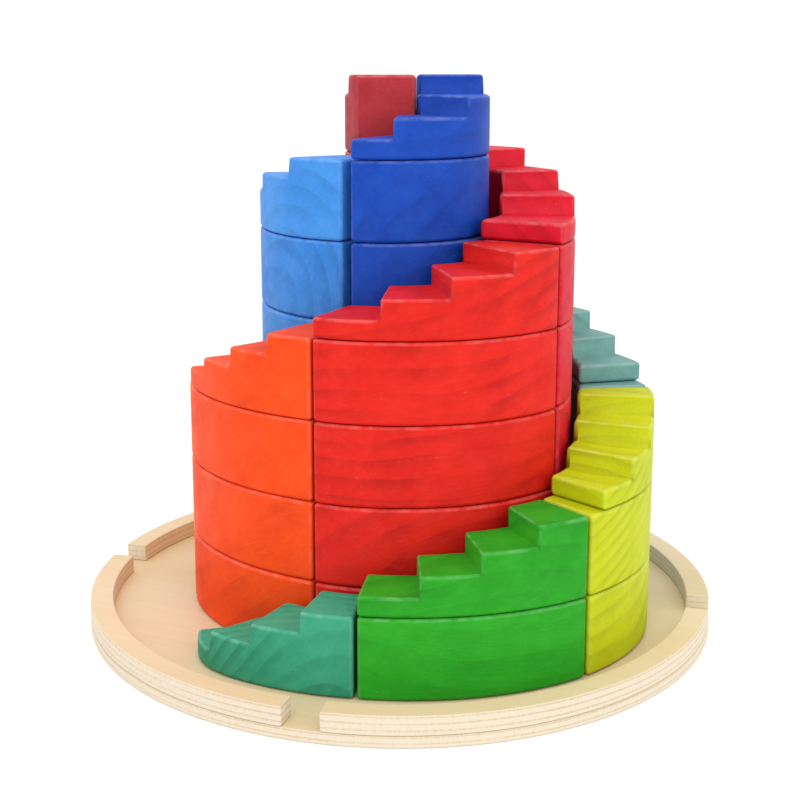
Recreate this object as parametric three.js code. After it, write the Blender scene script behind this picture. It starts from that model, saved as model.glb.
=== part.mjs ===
// Wooden stair-spiral block tower on a round plywood tray. Millimetres, +Z up, front is -Y.
// Two arms of curved blocks wind up and inwards around one axis, half a turn apart.
// Each arm has seven columns. Column n is n blocks high and its top block is a four-step stair.
import * as THREE from 'three';

const LEVEL = 35;              // height of one block plus its share of the gap above it
const GAP_Z = 0.3;             // gap between stacked blocks
const STEPS = 4;               // treads on a stair block
const ARM_GAP = 4.2;           // gap between neighbouring turns of the two arms
const END_GAP = 0.7;           // angle in degrees left open between blocks of one arm
const FACET = 5;               // degrees of arc per facet

// Outer face of an arm: radius = START - SHRINK * t - TIGHTEN * t^2, with t in half turns,
// less what the arm is drawn in there.
const START_RADIUS = 127.8;
const SHRINK = 27;
const TIGHTEN = 4.4;
const START_ANGLE = -100;      // plan angle where t is zero on the first arm
const END_ANGLE = 337;         // where the arm meets its core column
const CORE_RADIUS = 37.5;      // nothing but the two core columns comes inside this
const CORE_X = -1.4;           // the core stands a little to the left of the axis

const TRAY_RADIUS = 145.5;
const TRAY_BASE = 5;           // thickness of the base disc
const RIM_HEIGHT = 8.3;        // height of the rim above the base disc
const RIM_WIDTH = 10.5;
const RIM_GAPS = [-105.6, -14, 76, 166];  // plan angles of the four gaps in the rim
const RIM_GAP_WIDTH = 15;
const TOWER_X = 8.8;           // the tower's axis stands a little off the tray's centre
const TOWER_Y = 8.2;

// Columns of each arm: name, start and end angle measured along the arm, colour, and where the
// stair starts if it is set back from the blocks under it. `drawn` lists angle and millimetres.
const COOL_ARM = {
  turn: 0,
  columns: [
    ['teal', -43, -2.5, 0x3fa582],
    ['green', -2.5, 43.5, 0x35a52e],
    ['yellow', 43.5, 88, 0xcdd41c, 47],
    ['mint', 88.5, 141, 0x76b29c, 92.5],
    ['turquoise', 143, 232, 0x2f9fb5],
    ['light_blue', 233, END_ANGLE, 0x4790e0],
  ],
  core: ['dark_blue', 0x2450b8],
  drawn: [
    [-46, 20], [-43, 13], [-38, 4], [-33, 1], [-28, 0.6], [-3, 1.6], [6, 1.2], [20, 0],
    [42, -2.5], [58, -2], [68, -0.5], [78, 3], [88, 5.5], [93, 9.2], [104, 15.2], [118, 20],
    [130, 20.5], [141, 20], [160, 17], [180, 12], [205, 6], [232, 0], [250, 1], [280, 2.2],
    [300, 1.5], [322, 0],
  ],
};
const WARM_ARM = {
  turn: 180,
  columns: [
    ['lemon', -38, -2.5, 0xe9cf2a],
    ['golden', -2.5, 47, 0xf0b41f],
    ['amber', 47, 109, 0xf0921e],
    ['orange', 110.5, 162, 0xf55a08],
    ['red', 162, 232, 0xe0271c],
    ['crimson', 233, END_ANGLE, 0xd22038],
  ],
  core: ['dark_red', 0xb53c40],
  drawn: [
    [-38, 13.5], [0, 8], [96, 5], [110, 2.6], [117, 2.2], [146, 3.2], [160, 3], [168, 0.8],
    [184, 0], [205, -1.6], [229, -2], [236, 0], [243, 2], [252, 4.5], [262, 7], [270, 8],
    [285, 8.3], [298, 9], [311, 7], [325, 4], [337, 0],
  ],
};

const rad = (deg) => deg * Math.PI / 180;
const polar = (r, deg) => [r * Math.cos(rad(deg)), r * Math.sin(rad(deg))];

// What the list `drawn` gives at one angle, in straight lines from entry to entry.
function lookUp(drawn, along) {
  if (along <= drawn[0][0]) return drawn[0][1];
  for (let i = 1; i < drawn.length; i += 1) {
    const [a, p] = drawn[i - 1];
    const [b, q] = drawn[i];
    if (along <= b) return p + (q - p) * (along - a) / (b - a);
  }
  return drawn[drawn.length - 1][1];
}

function outerRadius(along, arm) {
  const t = along / 180;
  const soft = lookUp(arm.drawn, along - 4) + 2 * lookUp(arm.drawn, along)
    + lookUp(arm.drawn, along + 4);
  return START_RADIUS - SHRINK * t - TIGHTEN * t * t - soft / 4;
}

// One cut across the arm: its outer and inner point in plan. The other arm passes inside it
// half a turn further along.
function crossCut(along, arm) {
  const r = outerRadius(along, arm);
  const slope = (outerRadius(along + 8, arm) - outerRadius(along - 8, arm)) / rad(16);
  const lean = Math.atan2(-slope, r) * Math.min(1, (END_ANGLE - along) / 100);
  const other = arm === WARM_ARM ? COOL_ARM : WARM_ARM;
  const width = Math.min(r - outerRadius(along + 180, other) - ARM_GAP, r - CORE_RADIUS);
  const angle = START_ANGLE + along + arm.turn;
  const [x, y] = polar(r, angle);
  const [nx, ny] = polar(width, angle + 180 + lean * 180 / Math.PI);
  return { outer: [x, y], inner: [x + nx, y + ny] };
}

// Cuts from one end of a column to the other; `tread` counts up from 1 along a stair.
function columnCuts(from, to, arm) {
  const cuts = [];
  const facets = Math.max(2, Math.round((to - from) / STEPS / FACET));
  for (let i = 0; i <= STEPS * facets; i += 1) {
    const along = from + END_GAP / 2 + (to - from - END_GAP) * i / (STEPS * facets);
    cuts.push({ ...crossCut(along, arm), tread: Math.floor(i / facets) + 1 });
  }
  return cuts;
}

// The core column is half-round: its cuts swing from the arm's end to beside the axis.
const CORE_CUTS = [
  [[-29, -54.6], [-17.2, -31.2], 1], [[-20, -57.2], [-13.6, -25.2], 1],
  [[-10.6, -57.9], [-8.8, -21.4], 2], [[-2, -56.6], [-5, -19], 2],
  [[6.2, -53.6], [-2, -17.6], 2], [[14.4, -48.8], [-0.4, -16.8], 2],
  [[21.8, -42], [0.25, -16.2], 3], [[27.4, -33.6], [0.25, -12.6], 3],
  [[31.2, -23.8], [0.25, -8.8], 3], [[32.8, -13], [0.25, -4.8], 3],
  [[32.4, -3.6], [0.25, -0.8], 3], [[31, 2.4], [0.25, 2.4], 4],
  [[29.2, 9], [0.25, 9], 4], [[27.3, 13.6], [0.25, 13.6], 4],
];

function coreCuts(turn) {
  const c = Math.cos(rad(turn));
  return CORE_CUTS.map(([o, i, tread]) => ({
    outer: [o[0] * c + CORE_X, o[1] * c], inner: [i[0] * c + CORE_X, i[1] * c], tread,
  }));
}

class Skin {
  constructor() { this.points = []; }
  quad(a, b, c, d) { this.points.push(...a, ...b, ...c, ...a, ...c, ...d); }
  geometry() {
    const g = new THREE.BufferGeometry();
    g.setAttribute('position', new THREE.Float32BufferAttribute(this.points, 3));
    g.computeVertexNormals();
    return g;
  }
}

const at = ([x, y], z) => [x + TOWER_X, y + TOWER_Y, z];

// A curved block standing at height z0. `bands` are the heights its faces are divided at.
function blockGeometry(cuts, z0, bands, topOf) {
  const skin = new Skin();
  const last = cuts.length - 1;
  for (let i = 0; i < last; i += 1) {
    const a = cuts[i];
    const b = cuts[i + 1];
    const top = topOf(a.tread);
    for (let k = 0; k < top; k += 1) {
      const lo = z0 + bands[k];
      const hi = z0 + bands[k + 1];
      skin.quad(at(a.outer, lo), at(b.outer, lo), at(b.outer, hi), at(a.outer, hi));
      skin.quad(at(b.inner, lo), at(a.inner, lo), at(a.inner, hi), at(b.inner, hi));
    }
    const zt = z0 + bands[top];
    skin.quad(at(a.outer, zt), at(b.outer, zt), at(b.inner, zt), at(a.inner, zt));
    skin.quad(at(b.outer, z0), at(a.outer, z0), at(a.inner, z0), at(b.inner, z0));
    addFace(skin, a, i === 0 ? 0 : topOf(cuts[i - 1].tread), top, z0, bands);
  }
  const end = cuts[last];
  for (let k = 0; k < topOf(cuts[last - 1].tread); k += 1) {
    const lo = z0 + bands[k];
    const hi = z0 + bands[k + 1];
    skin.quad(at(end.outer, lo), at(end.inner, lo), at(end.inner, hi), at(end.outer, hi));
  }
  return skin.geometry();
}

// The part of a cut that shows: the start face of a block or the riser of a step.
function addFace(skin, cut, from, to, z0, bands) {
  for (let k = from; k < to; k += 1) {
    const lo = z0 + bands[k];
    const hi = z0 + bands[k + 1];
    skin.quad(at(cut.inner, lo), at(cut.outer, lo), at(cut.outer, hi), at(cut.inner, hi));
  }
}

function plainBlock(cuts, level) {
  const z0 = TRAY_BASE + GAP_Z + level * LEVEL;
  return blockGeometry(cuts, z0, [0, LEVEL - GAP_Z], () => 1);
}

function stairBlock(cuts, level) {
  const z0 = TRAY_BASE + GAP_Z + level * LEVEL;
  const bands = [];
  for (let k = 0; k <= STEPS; k += 1) bands.push((LEVEL - GAP_Z) * k / STEPS);
  return blockGeometry(cuts, z0, bands, (tread) => Math.min(tread, STEPS));
}

function mesh(name, geometry, color, roughness) {
  const material = new THREE.MeshStandardMaterial({ color, roughness, metalness: 0 });
  const m = new THREE.Mesh(geometry, material);
  m.name = name;
  m.material.name = name;
  return m;
}

function addColumn(group, name, cuts, stairCuts, blocks, color) {
  for (let level = 0; level < blocks - 1; level += 1) {
    group.add(mesh(`${name}_arc_${level + 1}`, plainBlock(cuts, level), color, 0.62));
  }
  group.add(mesh(`${name}_stair`, stairBlock(stairCuts, blocks - 1), color, 0.62));
}

function addArm(group, arm) {
  arm.columns.forEach(([name, from, to, color, stairFrom = from], i) => {
    const stairCuts = columnCuts(stairFrom, to, arm);
    addColumn(group, name, columnCuts(from, to, arm), stairCuts, i + 1, color);
  });
  const core = coreCuts(arm.turn);
  addColumn(group, arm.core[0], core, core, arm.columns.length + 1, arm.core[1]);
}

// Plan angles round the tray where its wall height changes or a facet ends.
function trayStations() {
  const half = RIM_GAP_WIDTH / 2 / (TRAY_RADIUS - RIM_WIDTH / 2) * 180 / Math.PI;
  const stations = [];
  RIM_GAPS.forEach((gap, i) => {
    const next = i + 1 < RIM_GAPS.length ? RIM_GAPS[i + 1] : RIM_GAPS[0] + 360;
    stations.push([gap - half, false], [gap, false]);
    const facets = 16;
    for (let k = 0; k < facets; k += 1) {
      stations.push([gap + half + (next - gap - 2 * half) * k / facets, true]);
    }
  });
  return stations;
}

// Base disc with four rim arcs standing on it, as one solid.
function trayGeometry() {
  const skin = new Skin();
  const top = TRAY_BASE + RIM_HEIGHT;
  const ro = TRAY_RADIUS;
  const ri = TRAY_RADIUS - RIM_WIDTH;
  const p = (r, deg, z) => [...polar(r, deg), z];
  const stations = trayStations();
  const face = (deg) => skin.quad(p(ri, deg, TRAY_BASE), p(ro, deg, TRAY_BASE),
    p(ro, deg, top), p(ri, deg, top));
  const faceBack = (deg) => skin.quad(p(ro, deg, TRAY_BASE), p(ri, deg, TRAY_BASE),
    p(ri, deg, top), p(ro, deg, top));
  stations.forEach(([a, wall], i) => {
    const [b, nextWall] = stations[(i + 1) % stations.length];
    skin.quad(p(ro, a, 0), p(ro, b, 0), p(ro, b, TRAY_BASE), p(ro, a, TRAY_BASE));
    skin.points.push(0, 0, 0, ...p(ro, b, 0), ...p(ro, a, 0));
    skin.points.push(0, 0, TRAY_BASE, ...p(ri, a, TRAY_BASE), ...p(ri, b, TRAY_BASE));
    if (wall) {
      skin.quad(p(ro, a, TRAY_BASE), p(ro, b, TRAY_BASE), p(ro, b, top), p(ro, a, top));
      skin.quad(p(ri, b, TRAY_BASE), p(ri, a, TRAY_BASE), p(ri, a, top), p(ri, b, top));
      skin.quad(p(ri, a, top), p(ro, a, top), p(ro, b, top), p(ri, b, top));
      if (!nextWall) faceBack(b);
    } else {
      skin.quad(p(ri, a, TRAY_BASE), p(ro, a, TRAY_BASE), p(ro, b, TRAY_BASE), p(ri, b, TRAY_BASE));
      if (nextWall) face(b);
    }
  });
  return skin.geometry();
}

const tower = new THREE.Group();
tower.name = 'stair_spiral_tower';
tower.add(mesh('tray', trayGeometry(), 0xe8cba6, 0.55));
addArm(tower, COOL_ARM);
addArm(tower, WARM_ARM);

export default tower;
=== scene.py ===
"""Looks for the stair-spiral block tower: stained wooden blocks on a birch plywood tray."""
import math
import random

import bmesh
import bpy
from mathutils import Matrix, Vector


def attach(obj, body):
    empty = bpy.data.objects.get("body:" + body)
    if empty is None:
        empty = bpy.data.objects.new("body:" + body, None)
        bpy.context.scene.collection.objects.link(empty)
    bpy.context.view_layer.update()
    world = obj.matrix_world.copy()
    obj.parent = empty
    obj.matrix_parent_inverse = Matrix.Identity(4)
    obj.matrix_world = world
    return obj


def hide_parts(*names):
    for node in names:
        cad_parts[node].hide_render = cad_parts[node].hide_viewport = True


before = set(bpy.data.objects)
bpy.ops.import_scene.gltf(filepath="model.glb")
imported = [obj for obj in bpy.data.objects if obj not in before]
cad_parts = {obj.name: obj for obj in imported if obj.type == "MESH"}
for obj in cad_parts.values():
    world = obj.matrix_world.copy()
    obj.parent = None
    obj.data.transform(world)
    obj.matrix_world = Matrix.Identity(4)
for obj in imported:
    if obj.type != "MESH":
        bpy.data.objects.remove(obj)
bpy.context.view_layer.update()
MM = 0.001               # metres in a millimetre

# ---- sizes, as in the CAD part, in millimetres ----
LEVEL, GAP_Z, STEPS = 35.0, 0.3, 4
ARM_GAP, END_GAP = 4.2, 0.7
START_RADIUS, SHRINK, TIGHTEN = 127.8, 27.0, 4.4
START_ANGLE, END_ANGLE, CORE_RADIUS, CORE_X = -100.0, 337.0, 37.5, -1.4
TRAY_RADIUS, TRAY_BASE, RIM_HEIGHT, RIM_WIDTH = 145.5, 5.0, 8.3, 10.5
RIM_GAPS, RIM_GAP_WIDTH = (-105.6, -14, 76, 166), 15.0
TOWER_X, TOWER_Y = 8.8, 8.2
SOFTEN = 4               # degrees either side over which the drawn-in amounts are evened out
SLOPE_SPAN = 8           # degrees either side over which the arm's slope is taken
LEAN_FADE = 100          # degrees before the arm's end over which its cuts turn radial

# ---- sizes of the shown pieces ----
FINE = 2.2               # degrees of arc per facet of a block
TRAY_FINE = 2            # degrees of arc per facet of the tray
SHOWN_RADIUS = TRAY_RADIUS - 0.1   # a finer circle than the CAD's, kept within its facets
RIM_LIFT = 0.05          # glue line under the rim arcs, mm
OUTER_EDGE, INNER_EDGE, STEP_EDGE = 0.75, 1.0, 0.5   # shares of the widest rounding
ROUNDING, TRAY_ROUNDING = 2.1, 0.7                   # mm
EDGE_ANGLE = math.radians(35)                        # sharper than this is an edge

COLUMNS = [  # name, warm arm, angles along the arm, blocks high, where its stair starts
    ("teal", False, -43, -2.5, 1, -43), ("green", False, -2.5, 43.5, 2, -2.5),
    ("yellow", False, 43.5, 88, 3, 47), ("mint", False, 88.5, 141, 4, 92.5),
    ("turquoise", False, 143, 232, 5, 143), ("light_blue", False, 233, END_ANGLE, 6, 233),
    ("lemon", True, -38, -2.5, 1, -38), ("golden", True, -2.5, 47, 2, -2.5),
    ("amber", True, 47, 109, 3, 47), ("orange", True, 110.5, 162, 4, 110.5),
    ("red", True, 162, 232, 5, 162), ("crimson", True, 233, END_ANGLE, 6, 233),
]
DRAWN = {  # by warm arm: how far the arm is drawn in from the plain spiral, angle and millimetres
    False: [(-46, 20), (-43, 13), (-38, 4), (-33, 1), (-28, 0.6), (-3, 1.6), (6, 1.2), (20, 0),
            (42, -2.5), (58, -2), (68, -0.5), (78, 3), (88, 5.5), (93, 9.2), (104, 15.2),
            (118, 20), (130, 20.5), (141, 20), (160, 17), (180, 12), (205, 6), (232, 0),
            (250, 1), (280, 2.2), (300, 1.5), (322, 0)],
    True: [(-38, 13.5), (0, 8), (96, 5), (110, 2.6), (117, 2.2), (146, 3.2), (160, 3), (168, 0.8),
           (184, 0), (205, -1.6), (229, -2), (236, 0), (243, 2), (252, 4.5), (262, 7),
           (270, 8), (285, 8.3), (298, 9), (311, 7), (325, 4), (337, 0)],
}
CORES = [("dark_blue", 1, 7), ("dark_red", -1, 7)]
CORE_CUTS = [
    ((-29, -54.6), (-17.2, -31.2), 1), ((-20, -57.2), (-13.6, -25.2), 1),
    ((-10.6, -57.9), (-8.8, -21.4), 2), ((-2, -56.6), (-5, -19), 2),
    ((6.2, -53.6), (-2, -17.6), 2), ((14.4, -48.8), (-0.4, -16.8), 2),
    ((21.8, -42), (0.25, -16.2), 3), ((27.4, -33.6), (0.25, -12.6), 3),
    ((31.2, -23.8), (0.25, -8.8), 3), ((32.8, -13), (0.25, -4.8), 3),
    ((32.4, -3.6), (0.25, -0.8), 3), ((31, 2.4), (0.25, 2.4), 4),
    ((29.2, 9), (0.25, 9), 4), ((27.3, 13.6), (0.25, 13.6), 4),
]

# ---- colours and figure of the wood ----
# stain colour and a second tone it drifts to, sRGB
STAINS = {
    "teal": ((62, 164, 130), (42, 146, 112)), "green": ((42, 166, 34), (26, 146, 18)),
    "yellow": ((197, 206, 10), (181, 193, 0)), "mint": ((122, 172, 166), (100, 152, 147)),
    "turquoise": ((54, 158, 174), (36, 136, 156)),
    "light_blue": ((66, 146, 224), (46, 122, 206)), "dark_blue": ((9, 73, 180), (4, 55, 157)),
    "lemon": ((232, 208, 40), (216, 186, 20)), "golden": ((238, 180, 26), (222, 158, 10)),
    "amber": ((238, 142, 18), (222, 120, 4)), "orange": ((248, 78, 0), (230, 60, 0)),
    "red": ((225, 33, 17), (201, 16, 6)), "crimson": ((220, 15, 44), (199, 7, 32)),
    "dark_red": ((190, 52, 56), (164, 36, 42)),
}

# growth rings by colour: spacing in metres and how strongly they show
FIGURE = {
    "teal": (0.0052, 0.62), "yellow": (0.0050, 0.34), "red": (0.0085, 0.42), "mint": (0.0070, 0.45),
    "orange": (0.0120, 0.26), "green": (0.0090, 0.3), "light_blue": (0.0065, 0.34),
    "dark_blue": (0.0105, 0.3), "dark_red": (0.0090, 0.2),
}

# how steeply the grain rises along each colour's blocks, degrees
TILT = {"teal": 48, "yellow": 34, "red": 11, "dark_blue": 13, "light_blue": 36, "orange": 28,
        "green": 5, "mint": 9}
SPACING, STRENGTH = 0.0085, 0.36       # rings of the colours without figures of their own
RING_SWAY, RING_DRIFT = 1.2, 3.2       # how far rings wander closely and broadly, in rings
FIRST_SEED, SEED_STEP = 11, 20

PLY_FACE, PLY_FACE_DEEP = (221, 201, 166), (209, 186, 143)
PLY_FIBRE, PLY_PATCH = (204, 176, 132), (222, 197, 155)
PLY_EDGE, PLY_EDGE_DEEP = (222, 209, 187), (206, 187, 158)
PLY_PORE, PLY_GLUE = (184, 158, 124), (178, 148, 112)
BASE_PLY, RIM_PLY = 1.25, 1.38         # thickness of one layer, mm


def linear(c):
    c = c / 255
    return c / 12.92 if c <= 0.04045 else ((c + 0.055) / 1.055) ** 2.4


def rgba(rgb):
    return (*[linear(c) for c in rgb], 1.0)


# ---- plan of the arms ----
def look_up(table, along):
    """The millimetres a table gives at one angle, in straight lines from entry to entry."""
    if along <= table[0][0]:
        return table[0][1]
    for (a, p), (b, q) in zip(table, table[1:]):
        if along <= b:
            return p + (q - p) * (along - a) / (b - a)
    return table[-1][1]


def outer_radius(along, warm):
    t = along / 180
    table = DRAWN[warm]
    soft = (look_up(table, along - SOFTEN) + 2 * look_up(table, along)
            + look_up(table, along + SOFTEN))
    return START_RADIUS - SHRINK * t - TIGHTEN * t * t - soft / 4


def cross_cut(along, warm):
    """One cut across an arm: its outer and its inner point in plan."""
    r = outer_radius(along, warm)
    rise = outer_radius(along + SLOPE_SPAN, warm) - outer_radius(along - SLOPE_SPAN, warm)
    slope = rise / math.radians(2 * SLOPE_SPAN)
    lean = math.atan2(-slope, r) * min(1, (END_ANGLE - along) / LEAN_FADE)
    width = min(r - outer_radius(along + 180, not warm) - ARM_GAP, r - CORE_RADIUS)
    angle = math.radians(START_ANGLE + along + (180 if warm else 0))
    o = Vector((r * math.cos(angle), r * math.sin(angle)))
    back = angle + math.pi + lean
    return o, o + width * Vector((math.cos(back), math.sin(back)))


def column_cuts(start, end, warm):
    """Cuts from one end of a column to the other, each with the tread that starts there."""
    per = max(4, round((end - start) / STEPS / FINE))
    cuts = []
    for i in range(STEPS * per + 1):
        along = start + END_GAP / 2 + (end - start - END_GAP) * i / (STEPS * per)
        cuts.append((*cross_cut(along, warm), min(STEPS, i // per + 1)))
    return cuts


def smooth_between(points, k, t):
    """A point on the smooth curve through the points, t of the way from the k-th to the next."""
    p = [points[max(0, min(len(points) - 1, k + d))] for d in (-1, 0, 1, 2)]
    a, b, c, d = [Vector(q) for q in p]
    return 0.5 * (2 * b + (c - a) * t + (2 * a - 5 * b + 4 * c - d) * t * t
                  + (3 * b - a - 3 * c + d) * t * t * t)


def core_cuts(side):
    outs = [c[0] for c in CORE_CUTS]
    ins = [c[1] for c in CORE_CUTS]
    shift = Vector((CORE_X, 0))
    cuts = []
    for k in range(len(CORE_CUTS) - 1):
        for t in (0, 1 / 3, 2 / 3):
            o = smooth_between(outs, k, t) * side + shift
            i = Vector(ins[k]).lerp(Vector(ins[k + 1]), t) * side + shift
            cuts.append((o, i, CORE_CUTS[k][2]))
    cuts.append((Vector(outs[-1]) * side + shift, Vector(ins[-1]) * side + shift, STEPS))
    return cuts


# ---- one block ----
def block_mesh(name, cuts, level, stair):
    """A curved block with edges marked for rounding by how worn that edge is."""
    bm = bmesh.new()
    weight = bm.edges.layers.float.new("bevel_weight_edge")
    z0 = TRAY_BASE + GAP_Z + level * LEVEL
    h = LEVEL - GAP_Z
    tread = [c[2] if stair else STEPS for c in cuts]
    verts = {}

    def v(i, side, k):
        key = (i, side, k)
        if key not in verts:
            x, y = cuts[i][side]
            verts[key] = bm.verts.new(((x + TOWER_X) * MM, (y + TOWER_Y) * MM,
                                       (z0 + h * k / STEPS) * MM))
        return verts[key]

    last = len(cuts) - 1
    tops = tread[:last]
    for side in (0, 1):
        for i in range(last):
            left = sorted({0, tops[i]} | ({tops[i - 1]} if i and tops[i - 1] < tops[i] else set()))
            right = [0, tops[i]]
            if i + 1 < last and tops[i + 1] < tops[i]:
                right.insert(1, tops[i + 1])
            loop = [v(i, side, k) for k in reversed(left)] + [v(i + 1, side, k) for k in right]
            f = bm.faces.new(loop if side == 0 else loop[::-1])
            f.smooth = True
    runs = []
    for i in range(last):
        if runs and tops[i] == runs[-1][2]:
            runs[-1][1] = i + 1
        else:
            runs.append([i, i + 1, tops[i]])
    for a, b, k in runs:
        ring = [v(i, 0, k) for i in range(a, b + 1)] + [v(i, 1, k) for i in range(b, a - 1, -1)]
        bm.faces.new(ring).smooth = True
    ring = [v(i, 1, 0) for i in range(last + 1)] + [v(i, 0, 0) for i in range(last, -1, -1)]
    bm.faces.new(ring).smooth = True
    lower = 0
    for a, b, k in runs:
        bm.faces.new([v(a, 1, lower), v(a, 0, lower), v(a, 0, k), v(a, 1, k)]).smooth = True
        lower = k
    bm.faces.new([v(last, 0, 0), v(last, 1, 0), v(last, 1, lower), v(last, 0, lower)]).smooth = True
    bm.normal_update()

    place = {vert: key for key, vert in verts.items()}
    for e in bm.edges:
        if len(e.link_faces) != 2 or not e.is_convex or e.calc_face_angle(0) < EDGE_ANGLE:
            continue
        (i, si, ki), (j, sj, kj) = (place[w] for w in e.verts)
        if si != sj:
            e[weight] = OUTER_EDGE if i in (0, last) else STEP_EDGE
        else:
            e[weight] = OUTER_EDGE if si == 0 else INNER_EDGE
    mesh = bpy.data.meshes.new(name)
    bm.to_mesh(mesh)
    bm.free()
    return mesh


def rounded(obj, width, segments=4):
    """Rounds the marked edges for good, and keeps how rubbed they are as the attribute wear."""
    obj.data.materials.append(obj.data.materials[0])   # a second slot, to mark the rounding
    mod = obj.modifiers.new("round", "BEVEL")
    mod.limit_method = "WEIGHT"
    mod.width = width * MM
    mod.segments = segments
    mod.material = 1
    mod.use_clamp_overlap = False
    mod.harden_normals = True
    graph = bpy.context.evaluated_depsgraph_get()
    mesh = bpy.data.meshes.new_from_object(obj.evaluated_get(graph))
    obj.modifiers.clear()
    old = obj.data
    name = old.name
    obj.data = mesh
    bpy.data.meshes.remove(old)
    mesh.name = name
    worn = [0.0] * len(mesh.vertices)
    flat = [False] * len(mesh.vertices)
    for p in mesh.polygons:
        for k in p.vertices:
            if p.material_index == 1:
                worn[k] = 0.0 if p.normal.z < -0.1 else 0.5 + 0.5 * min(1, 2 * p.normal.z)
            else:
                flat[k] = True
        p.material_index = 0
    wear = mesh.attributes.new("wear", "FLOAT", "POINT")
    for k, w in enumerate(worn):
        wear.data[k].value = 0.0 if flat[k] else w
    while len(mesh.materials) > 1:
        mesh.materials.pop()


def set_grain(mesh, seed, along, tilt):
    """Gives each vertex its place in the tree the block was cut from, whose pith is the x axis."""
    rng = random.Random(seed)
    centre = sum((v.co for v in mesh.vertices), Vector()) / len(mesh.vertices)
    turn = Matrix.Rotation(-along + math.radians(rng.uniform(-7, 7)), 3, "Z")
    tip = Matrix.Rotation(math.radians(tilt + rng.uniform(-9, 9)), 3, "Y")
    far, round_by = rng.uniform(0.045, 0.11), math.radians(rng.uniform(205, 335))
    pith = Vector((rng.uniform(-0.3, 0.3), far * math.cos(round_by), far * math.sin(round_by)))
    grain = mesh.attributes.new("grain", "FLOAT_VECTOR", "POINT")
    for k, vert in enumerate(mesh.vertices):
        grain.data[k].vector = tip @ (turn @ (vert.co - centre)) - pith
    tone = mesh.attributes.new("tone", "FLOAT", "POINT")
    shade = rng.uniform(0, 1)
    for k in range(len(mesh.vertices)):
        tone.data[k].value = shade


# ---- materials ----
def node(tree, kind, **values):
    n = tree.nodes.new(kind)
    for k, val in values.items():
        setattr(n, k, val)
    return n


def maths(tree, op, a, b=None, clamp=False):
    n = node(tree, "ShaderNodeMath", operation=op, use_clamp=clamp)
    for i, x in enumerate((a, b)):
        if x is None:
            continue
        if isinstance(x, (int, float)):
            n.inputs[i].default_value = x
        else:
            tree.links.new(x, n.inputs[i])
    return n.outputs[0]


def remap(tree, x, a, b, c=0.0, d=1.0):
    n = node(tree, "ShaderNodeMapRange", interpolation_type="SMOOTHSTEP")
    tree.links.new(x, n.inputs["Value"])
    for key, val in (("From Min", a), ("From Max", b), ("To Min", c), ("To Max", d)):
        n.inputs[key].default_value = val
    return n.outputs["Result"]


def attribute(tree, name):
    return node(tree, "ShaderNodeAttribute", attribute_name=name)


def noise(tree, vector, scale, detail=2.0, rough=0.5, stretch=None):
    if stretch:
        m = node(tree, "ShaderNodeVectorMath", operation="MULTIPLY")
        tree.links.new(vector, m.inputs[0])
        m.inputs[1].default_value = stretch
        vector = m.outputs[0]
    n = node(tree, "ShaderNodeTexNoise")
    tree.links.new(vector, n.inputs["Vector"])
    n.inputs["Scale"].default_value = scale
    n.inputs["Detail"].default_value = detail
    n.inputs["Roughness"].default_value = rough
    return n.outputs["Fac"]


def mix(tree, fac, a, b, mode="MIX"):
    n = node(tree, "ShaderNodeMix", data_type="RGBA", blend_type=mode)
    for key, x in ((0, fac), (6, a), (7, b)):
        if isinstance(x, (int, float, tuple)):
            n.inputs[key].default_value = x
        else:
            tree.links.new(x, n.inputs[key])
    return n.outputs[2]


def ring_lines(tree, vector, spacing):
    """Growth rings round the x axis: 0 in pale early wood, rising to 1 in the dark line."""
    xyz = node(tree, "ShaderNodeSeparateXYZ")
    tree.links.new(vector, xyz.inputs[0])
    y2 = maths(tree, "MULTIPLY", xyz.outputs[1], xyz.outputs[1])
    z2 = maths(tree, "MULTIPLY", xyz.outputs[2], xyz.outputs[2])
    dist = maths(tree, "SQRT", maths(tree, "ADD", y2, z2))
    sway = maths(tree, "SUBTRACT", noise(tree, vector, 26, 2.0, 0.5, (0.35, 1, 1)), 0.5)
    uneven = maths(tree, "SUBTRACT", noise(tree, vector, 9, 1.0), 0.5)
    turns = maths(tree, "DIVIDE", dist, spacing)
    turns = maths(tree, "ADD", turns, maths(tree, "MULTIPLY", sway, RING_SWAY))
    turns = maths(tree, "ADD", turns, maths(tree, "MULTIPLY", uneven, RING_DRIFT))
    phase = maths(tree, "FRACT", turns)
    rise = remap(tree, phase, 0.25, 0.9)
    fall = remap(tree, phase, 0.92, 1.0, 1.0, 0.0)
    return maths(tree, "MULTIPLY", rise, fall)


def toned(rgb, scale, lift=0.0):
    """A linear colour scaled, and lifted towards white."""
    return (*[scale * c + lift for c in rgba(rgb)[:3]], 1.0)


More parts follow.
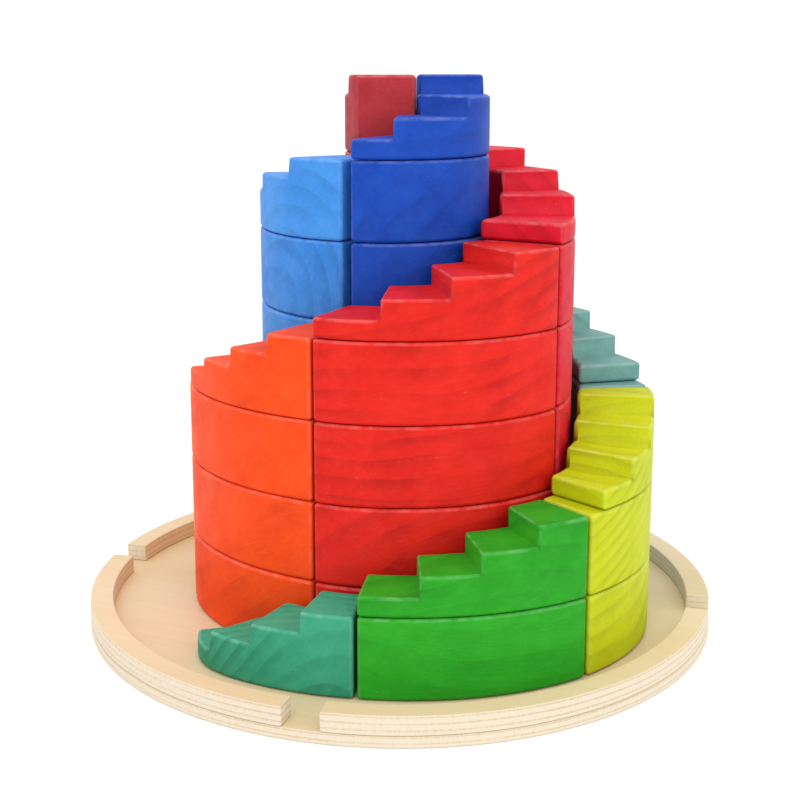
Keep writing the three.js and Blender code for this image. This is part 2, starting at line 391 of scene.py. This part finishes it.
def stained_wood(name, light, deep, spacing=SPACING, strength=STRENGTH):
    """Stained wood: growth rings, fibre, chalky mottling, rubbed edges and small scuffs."""
    m = bpy.data.materials.new(name)
    m.use_nodes = True
    t = m.node_tree
    bsdf = t.nodes["Principled BSDF"]
    g = attribute(t, "grain").outputs["Vector"]
    rings = ring_lines(t, g, spacing)
    patch = remap(t, noise(t, g, 30, 2.0), 0.36, 0.66)
    blotch = remap(t, noise(t, g, 62, 4.0, 0.6), 0.3, 0.72)
    fibre = remap(t, noise(t, g, 900, 3.0, 0.6, (0.05, 1, 1)), 0.3, 0.7)
    tone = attribute(t, "tone").outputs["Fac"]

    drift = maths(t, "ADD", maths(t, "MULTIPLY", blotch, 0.55), maths(t, "MULTIPLY", tone, 0.45))
    colour = mix(t, drift, rgba(light), rgba(deep))
    shows = maths(t, "MULTIPLY", maths(t, "ADD", maths(t, "MULTIPLY", patch, 0.8), 0.2), strength)
    line = maths(t, "MULTIPLY", rings, shows)
    darker = toned(deep, 0.5)
    colour = mix(t, line, colour, darker)
    colour = mix(t, maths(t, "MULTIPLY", fibre, 0.12), colour, darker)
    chalk = remap(t, noise(t, g, 330, 5.0, 0.7, (0.45, 1, 1)), 0.42, 0.72)
    colour = mix(t, maths(t, "MULTIPLY", chalk, 0.24), colour, toned(light, 0.96, 0.018))
    paler = toned(light, 0.68, 0.3)
    wear = attribute(t, "wear").outputs["Fac"]
    rub = remap(t, noise(t, g, 170, 3.0, 0.6), 0.3, 0.68)
    rubbed = maths(t, "ADD", maths(t, "MULTIPLY", rub, 0.24), 0.01)
    colour = mix(t, maths(t, "MULTIPLY", wear, rubbed), colour, paler)
    scuff = remap(t, noise(t, g, 900, 2.0, 0.5, (0.25, 1, 1)), 0.74, 0.8)
    colour = mix(t, maths(t, "MULTIPLY", scuff, 0.25), colour, paler)
    t.links.new(colour, bsdf.inputs["Base Color"])

    rough = maths(t, "ADD", maths(t, "MULTIPLY", blotch, 0.12), 0.5)
    rough = maths(t, "SUBTRACT", rough, maths(t, "MULTIPLY", wear, 0.08))
    t.links.new(rough, bsdf.inputs["Roughness"])
    bsdf.inputs["Specular IOR Level"].default_value = 0.2
    bump = node(t, "ShaderNodeBump")
    bump.inputs["Strength"].default_value = 0.16
    bump.inputs["Distance"].default_value = 0.0004
    height = maths(t, "ADD", maths(t, "MULTIPLY", fibre, 0.6), maths(t, "MULTIPLY", rings, -0.5))
    t.links.new(height, bump.inputs["Height"])
    t.links.new(bump.outputs[0], bsdf.inputs["Normal"])
    return m


def plywood(name, layer, offset):
    """Birch plywood: grain on the flat faces, and on the edges layers of one thickness in mm."""
    m = bpy.data.materials.new(name)
    m.use_nodes = True
    t = m.node_tree
    bsdf = t.nodes["Principled BSDF"]
    place = attribute(t, "grain").outputs["Vector"]
    fibre = remap(t, noise(t, place, 420, 3.0, 0.6, (0.04, 1, 1)), 0.3, 0.7)
    figure = remap(t, noise(t, place, 22, 3.0, 0.55, (0.16, 1, 1)), 0.3, 0.7)
    blotch = remap(t, noise(t, place, 14, 2.0), 0.3, 0.7)
    face = mix(t, maths(t, "MULTIPLY", figure, 0.7), rgba(PLY_FACE), rgba(PLY_FACE_DEEP))
    face = mix(t, maths(t, "MULTIPLY", fibre, 0.2), face, rgba(PLY_FIBRE))
    face = mix(t, maths(t, "MULTIPLY", blotch, 0.25), face, rgba(PLY_PATCH))

    xyz = node(t, "ShaderNodeSeparateXYZ")
    t.links.new(place, xyz.inputs[0])
    level = maths(t, "DIVIDE", maths(t, "SUBTRACT", xyz.outputs[2], offset * MM), layer * MM)
    ripple = maths(t, "MULTIPLY", maths(t, "SUBTRACT", noise(t, place, 30, 1.0), 0.5), 0.25)
    level = maths(t, "ADD", level, ripple)
    ply = maths(t, "MODULO", level, 2.0)
    dark_ply = maths(t, "MULTIPLY", remap(t, ply, 1.2, 1.45), remap(t, ply, 1.7, 1.95, 1.0, 0.0))
    pores = remap(t, noise(t, place, 900, 2.0, 0.5, (1, 1, 0.5)), 0.35, 0.7)
    showing = maths(t, "ADD", maths(t, "MULTIPLY", blotch, 0.7), 0.3)
    edge = mix(t, maths(t, "MULTIPLY", dark_ply, showing), rgba(PLY_EDGE), rgba(PLY_EDGE_DEEP))
    porous = maths(t, "ADD", maths(t, "MULTIPLY", dark_ply, 0.3), 0.08)
    edge = mix(t, maths(t, "MULTIPLY", pores, porous), edge, rgba(PLY_PORE))
    glue = maths(t, "ABSOLUTE", maths(t, "SUBTRACT", maths(t, "FRACT", level), 0.5))
    glue = remap(t, glue, 0.45, 0.5, 0.0, 0.08)
    edge = mix(t, glue, edge, rgba(PLY_GLUE))

    side = attribute(t, "edge").outputs["Fac"]
    colour = mix(t, side, face, edge)
    t.links.new(colour, bsdf.inputs["Base Color"])
    rough = maths(t, "ADD", maths(t, "MULTIPLY", figure, 0.1), 0.46)
    rough = maths(t, "ADD", rough, maths(t, "MULTIPLY", side, 0.12))
    t.links.new(rough, bsdf.inputs["Roughness"])
    bsdf.inputs["Specular IOR Level"].default_value = 0.36
    bump = node(t, "ShaderNodeBump")
    bump.inputs["Strength"].default_value = 0.12
    bump.inputs["Distance"].default_value = 0.0004
    t.links.new(maths(t, "ADD", fibre, maths(t, "MULTIPLY", dark_ply, -0.2)), bump.inputs["Height"])
    t.links.new(bump.outputs[0], bsdf.inputs["Normal"])
    return m


# ---- build the blocks ----
def add_object(name, mesh):
    obj = bpy.data.objects.new(name, mesh)
    bpy.context.scene.collection.objects.link(obj)
    return obj


def build_block(name, cuts, level, stair, material, seed, tilt):
    """One block, shown in place of its CAD node and riding on its body."""
    mesh = block_mesh(name, cuts, level, stair)
    obj = add_object("wood_" + name, mesh)
    mesh.materials.append(material)
    rounded(obj, ROUNDING)
    a, b = cuts[0][0], cuts[-1][0]
    set_grain(obj.data, seed, math.atan2(b.y - a.y, b.x - a.x), tilt)
    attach(obj, name)
    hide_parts(name)


def build_column(name, cuts, stair_cuts, high, seed):
    material = stained_wood(name + "_stain", *STAINS[name], *FIGURE.get(name, ()))
    tilt = TILT.get(name, 0)
    for level in range(high - 1):
        build_block(f"{name}_arc_{level + 1}", cuts, level, False, material,
                    seed + level, tilt)
    build_block(f"{name}_stair", stair_cuts, high - 1, True, material,
                seed + high, tilt)


seed = FIRST_SEED
for name, warm, start, end, high, stair_start in COLUMNS:
    build_column(name, column_cuts(start, end, warm), column_cuts(stair_start, end, warm),
                 high, seed)
    seed += SEED_STEP
for name, side, high in CORES:
    cuts = core_cuts(side)
    build_column(name, cuts, cuts, high, seed)
    seed += SEED_STEP


# ---- tray ----
def tray_piece(name, ring_in, start, end, z0, z1, material):
    """A disc (ring_in 0) or a rim arc between two plan angles."""
    bm = bmesh.new()
    weight = bm.edges.layers.float.new("bevel_weight_edge")
    whole = end - start >= 360
    n = max(8, round((end - start) / TRAY_FINE))
    count = n if whole else n + 1

    def ring(r, z):
        return [bm.verts.new((r * MM * math.cos(math.radians(start + (end - start) * i / n)),
                              r * MM * math.sin(math.radians(start + (end - start) * i / n)),
                              z * MM)) for i in range(count)]

    lo, hi = ring(SHOWN_RADIUS, z0), ring(SHOWN_RADIUS, z1)
    pairs = [(i, (i + 1) % count) for i in range(n)]
    for i, j in pairs:
        bm.faces.new((lo[i], lo[j], hi[j], hi[i]))
    if ring_in:
        lo2, hi2 = ring(ring_in, z0), ring(ring_in, z1)
        for i, j in pairs:
            bm.faces.new((lo2[j], lo2[i], hi2[i], hi2[j]))
        bm.faces.new(hi + hi2[::-1])
        bm.faces.new(lo[::-1] + lo2)
        bm.faces.new((lo2[0], lo[0], hi[0], hi2[0]))
        bm.faces.new((lo[-1], lo2[-1], hi2[-1], hi[-1]))
    else:
        bm.faces.new(hi)
        bm.faces.new(lo[::-1])
    for f in bm.faces:
        f.smooth = True
    bm.normal_update()
    for e in bm.edges:
        if e.calc_face_angle(0) > EDGE_ANGLE:
            e[weight] = 1.0
    mesh = bpy.data.meshes.new(name)
    bm.to_mesh(mesh)
    bm.free()
    obj = add_object(name, mesh)
    mesh.materials.append(material)
    rounded(obj, TRAY_ROUNDING, 3)
    mesh = obj.data
    grain = mesh.attributes.new("grain", "FLOAT_VECTOR", "POINT")
    turn = Matrix.Rotation(math.radians(24), 3, "Z")   # the way the grain of the sheet lies
    for k, vert in enumerate(mesh.vertices):
        grain.data[k].vector = turn @ vert.co
    side = mesh.attributes.new("edge", "FLOAT", "CORNER")
    for p in mesh.polygons:
        for k in p.loop_indices:
            side.data[k].value = 0.0 if abs(p.normal.z) > 0.8 else 1.0
    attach(obj, "tray")
    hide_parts("tray")


base_ply = plywood("tray_base_ply", BASE_PLY, 0.0)
rim_ply = plywood("tray_rim_ply", RIM_PLY, TRAY_BASE)
tray_piece("tray_base", 0, 0, 360, 0, TRAY_BASE, base_ply)
half = math.degrees(RIM_GAP_WIDTH / 2 / (TRAY_RADIUS - RIM_WIDTH / 2))
for k, gap in enumerate(RIM_GAPS):
    nxt = RIM_GAPS[k + 1] if k + 1 < len(RIM_GAPS) else RIM_GAPS[0] + 360
    tray_piece(f"tray_rim_{k + 1}", TRAY_RADIUS - RIM_WIDTH, gap + half, nxt - half,
               TRAY_BASE + RIM_LIFT, TRAY_BASE + RIM_HEIGHT, rim_ply)

# ---- studio: metres and watts ----
FLOOR_REACH, PAPER, SURROUND = 6.0, 0.93, 1.09
LAMP_SIZE, LAMP_AIM = 1.2, (0, 0, 0.12)

reach = FLOOR_REACH
floor_mesh = bpy.data.meshes.new("studio_floor")
floor_mesh.from_pydata([(-reach, -reach, 0), (reach, -reach, 0), (reach, reach, 0),
                        (-reach, reach, 0)], [], [(0, 1, 2, 3)])
floor = add_object("studio_floor", floor_mesh)
paper = bpy.data.materials.new("studio_paper")
paper.use_nodes = True
paper_bsdf = paper.node_tree.nodes["Principled BSDF"]
paper_bsdf.inputs["Base Color"].default_value = (PAPER, PAPER, PAPER, 1)
paper_bsdf.inputs["Roughness"].default_value = 0.9
floor_mesh.materials.append(paper)

world = bpy.data.worlds.new("studio")
bpy.context.scene.world = world
world.use_nodes = True
world.node_tree.nodes["Background"].inputs["Color"].default_value = (1, 1, 1, 1)
world.node_tree.nodes["Background"].inputs["Strength"].default_value = SURROUND
bpy.context.scene.view_settings.view_transform = "Standard"


def soft_light(name, where, size, power):
    light = bpy.data.lights.new(name, "AREA")
    light.shape = "SQUARE"
    light.size = size
    light.energy = power
    obj = add_object(name, light)
    obj.location = where
    aim = Vector(LAMP_AIM) - Vector(where)
    obj.rotation_euler = aim.to_track_quat("-Z", "Y").to_euler()


soft_light("key_left", (-0.6, -1.7, 1.6), LAMP_SIZE, 4)
soft_light("fill_right", (1.2, -1.5, 0.9), LAMP_SIZE, 5.5)
soft_light("top", (-0.15, -0.45, 2.0), 1.0, 9.5)

# ---- camera: in front and a little above, looking slightly down ----
CAMERA_AT = (-0.0049, -0.6240, 0.2562)
LOOKING_DOWN = 10.88      # degrees

cam = bpy.data.cameras.new("camera")
cam.sensor_width = 36
cam.lens = 61.56
cam.shift_x = 0.0135
cam.shift_y = -0.0956
camera = add_object("camera", cam)
camera.location = CAMERA_AT
camera.rotation_euler = (math.radians(90 - LOOKING_DOWN), 0, 0)
bpy.context.scene.camera = camera
